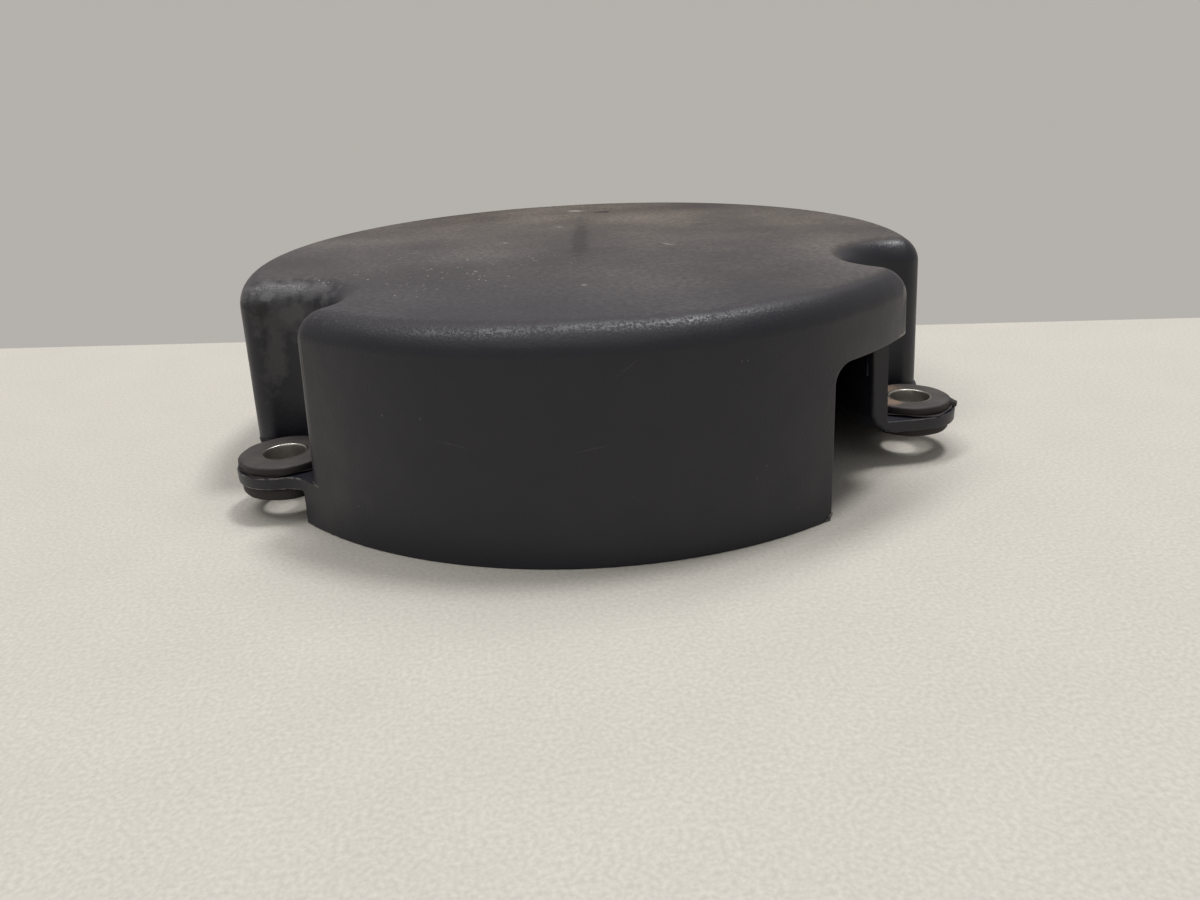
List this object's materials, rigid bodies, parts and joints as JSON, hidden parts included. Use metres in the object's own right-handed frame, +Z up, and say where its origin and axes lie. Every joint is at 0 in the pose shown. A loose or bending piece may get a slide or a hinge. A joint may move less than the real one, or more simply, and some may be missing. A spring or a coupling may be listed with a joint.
{
  "type": "timing belt cover",
  "caption": "Round moulded plastic cap for a belt drive, open underneath, with a belt opening in its wall and rubber-bushed bolt ears in side channels.",
  "frame": {"origin": "centre of the round cover on the plane of its open edge", "axes": "+Z up from the open edge to the flat top; -Y towards the side with the two bolt ears and the belt opening; +X to the right seen from there"},
  "size_m": [0.171, 0.171, 0.047],
  "materials": {
    "cover_shell": "fine grained black plastic, dusty on top",
    "grommet": "matt, dusty",
    "sleeve": "plain steel, a trace of rust"
  },
  "bodies": {
    "root": {"cover_shell": "cover_shell", "left_grommet": "grommet", "right_grommet": "grommet", "left_sleeve": "sleeve", "right_sleeve": "sleeve"}
  },
  "joints": []
}
